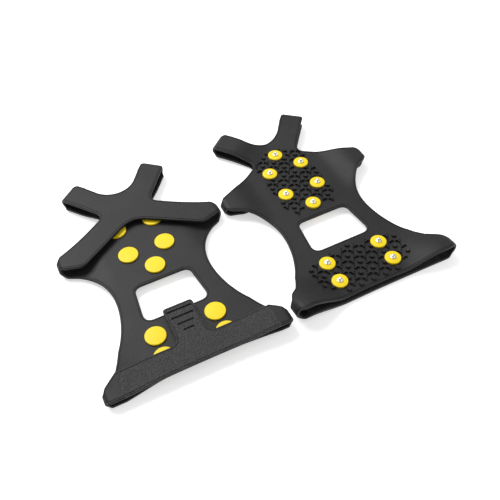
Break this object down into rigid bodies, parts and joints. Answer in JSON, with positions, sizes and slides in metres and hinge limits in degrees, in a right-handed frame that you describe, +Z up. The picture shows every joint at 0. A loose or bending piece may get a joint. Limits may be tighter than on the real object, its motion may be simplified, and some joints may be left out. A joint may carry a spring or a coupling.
{
  "type": "shoe ice cleats",
  "caption": "Pull-on rubber ice cleats for shoes: a sole web with an arch window, an instep star, a heel strap with a pull tab, and steel pins gripped by round yellow buttons.",
  "frame": {"origin": "centre of the pair's footprint, on the ground", "axes": "+X across the pair, from the left cleat to the right one; +Y towards the toes; +Z up"},
  "size_m": [0.2588, 0.194, 0.0191],
  "materials": {
    "rubber": "smooth matte moulded rubber",
    "strap_rubber": "fine pebbled matte rubber",
    "button_plastic": "semi-gloss yellow plastic",
    "pin_steel": "bright turned steel"
  },
  "bodies": {
    "left_sole": {"left_sole_web": "rubber", "left_button_1": "button_plastic", "left_button_2": "button_plastic", "left_button_3": "button_plastic", "left_button_4": "button_plastic", "left_button_5": "button_plastic", "left_button_6": "button_plastic", "left_button_7": "button_plastic", "left_button_8": "button_plastic", "left_button_9": "button_plastic", "left_button_10": "button_plastic", "left_pin_1": "pin_steel", "left_pin_2": "pin_steel", "left_pin_3": "pin_steel", "left_pin_4": "pin_steel", "left_pin_5": "pin_steel", "left_pin_6": "pin_steel", "left_pin_7": "pin_steel", "left_pin_8": "pin_steel", "left_pin_9": "pin_steel", "left_pin_10": "pin_steel", "left_toe_loop_l": "rubber", "left_toe_loop_r": "rubber", "left_side_loop_l": "rubber", "left_side_loop_r": "rubber", "left_heel_loop_l": "rubber", "left_heel_loop_r": "rubber"},
    "left_star": {"left_instep_star": "rubber"},
    "left_strap": {"left_heel_strap": "strap_rubber"},
    "right_sole": {"right_sole_web": "rubber", "right_button_1": "button_plastic", "right_button_2": "button_plastic", "right_button_3": "button_plastic", "right_button_4": "button_plastic", "right_button_5": "button_plastic", "right_button_6": "button_plastic", "right_button_7": "button_plastic", "right_button_8": "button_plastic", "right_button_9": "button_plastic", "right_button_10": "button_plastic", "right_pin_1": "pin_steel", "right_pin_2": "pin_steel", "right_pin_3": "pin_steel", "right_pin_4": "pin_steel", "right_pin_5": "pin_steel", "right_pin_6": "pin_steel", "right_pin_7": "pin_steel", "right_pin_8": "pin_steel", "right_pin_9": "pin_steel", "right_pin_10": "pin_steel", "right_toe_loop_l": "rubber", "right_toe_loop_r": "rubber", "right_side_loop_l": "rubber", "right_side_loop_r": "rubber", "right_heel_loop_l": "rubber", "right_heel_loop_r": "rubber"},
    "right_star": {"right_instep_star": "rubber"},
    "right_strap": {"right_heel_strap": "strap_rubber"}
  },
  "joints": [
    {"name": "left_star_lift", "type": "slide", "parent": "left_sole", "child": "left_star", "axis": [0, 0, 1], "range_m": [0, 0.045], "stiffness_N_per_m": 120, "deforming": ["left_toe_loop_l", "left_toe_loop_r", "left_side_loop_l", "left_side_loop_r"]},
    {"name": "left_strap_turn", "type": "hinge", "parent": "left_sole", "child": "left_strap", "pos_m": [-0.06509, -0.09739, 0.0086], "axis": [1, -0.0052, 0], "range_deg": [0, 95], "stiffness_Nm_per_rad": 0.03, "deforming": ["left_heel_loop_l", "left_heel_loop_r"]},
    {"name": "right_cleat_lift", "type": "slide", "parent": "left_sole", "child": "right_sole", "axis": [0, 0, 1], "range_m": [0, 0.12]},
    {"name": "right_star_lift", "type": "slide", "parent": "right_sole", "child": "right_star", "axis": [0, 0, -1], "range_m": [0, 0.045], "stiffness_N_per_m": 120, "deforming": ["right_toe_loop_l", "right_toe_loop_r", "right_side_loop_l", "right_side_loop_r"]},
    {"name": "right_strap_turn", "type": "hinge", "parent": "right_sole", "child": "right_strap", "pos_m": [0.06508, -0.09619, 0.0025], "axis": [-1, -0.0052, 0], "range_deg": [0, 95], "stiffness_Nm_per_rad": 0.03, "deforming": ["right_heel_loop_l", "right_heel_loop_r"]}
  ]
}
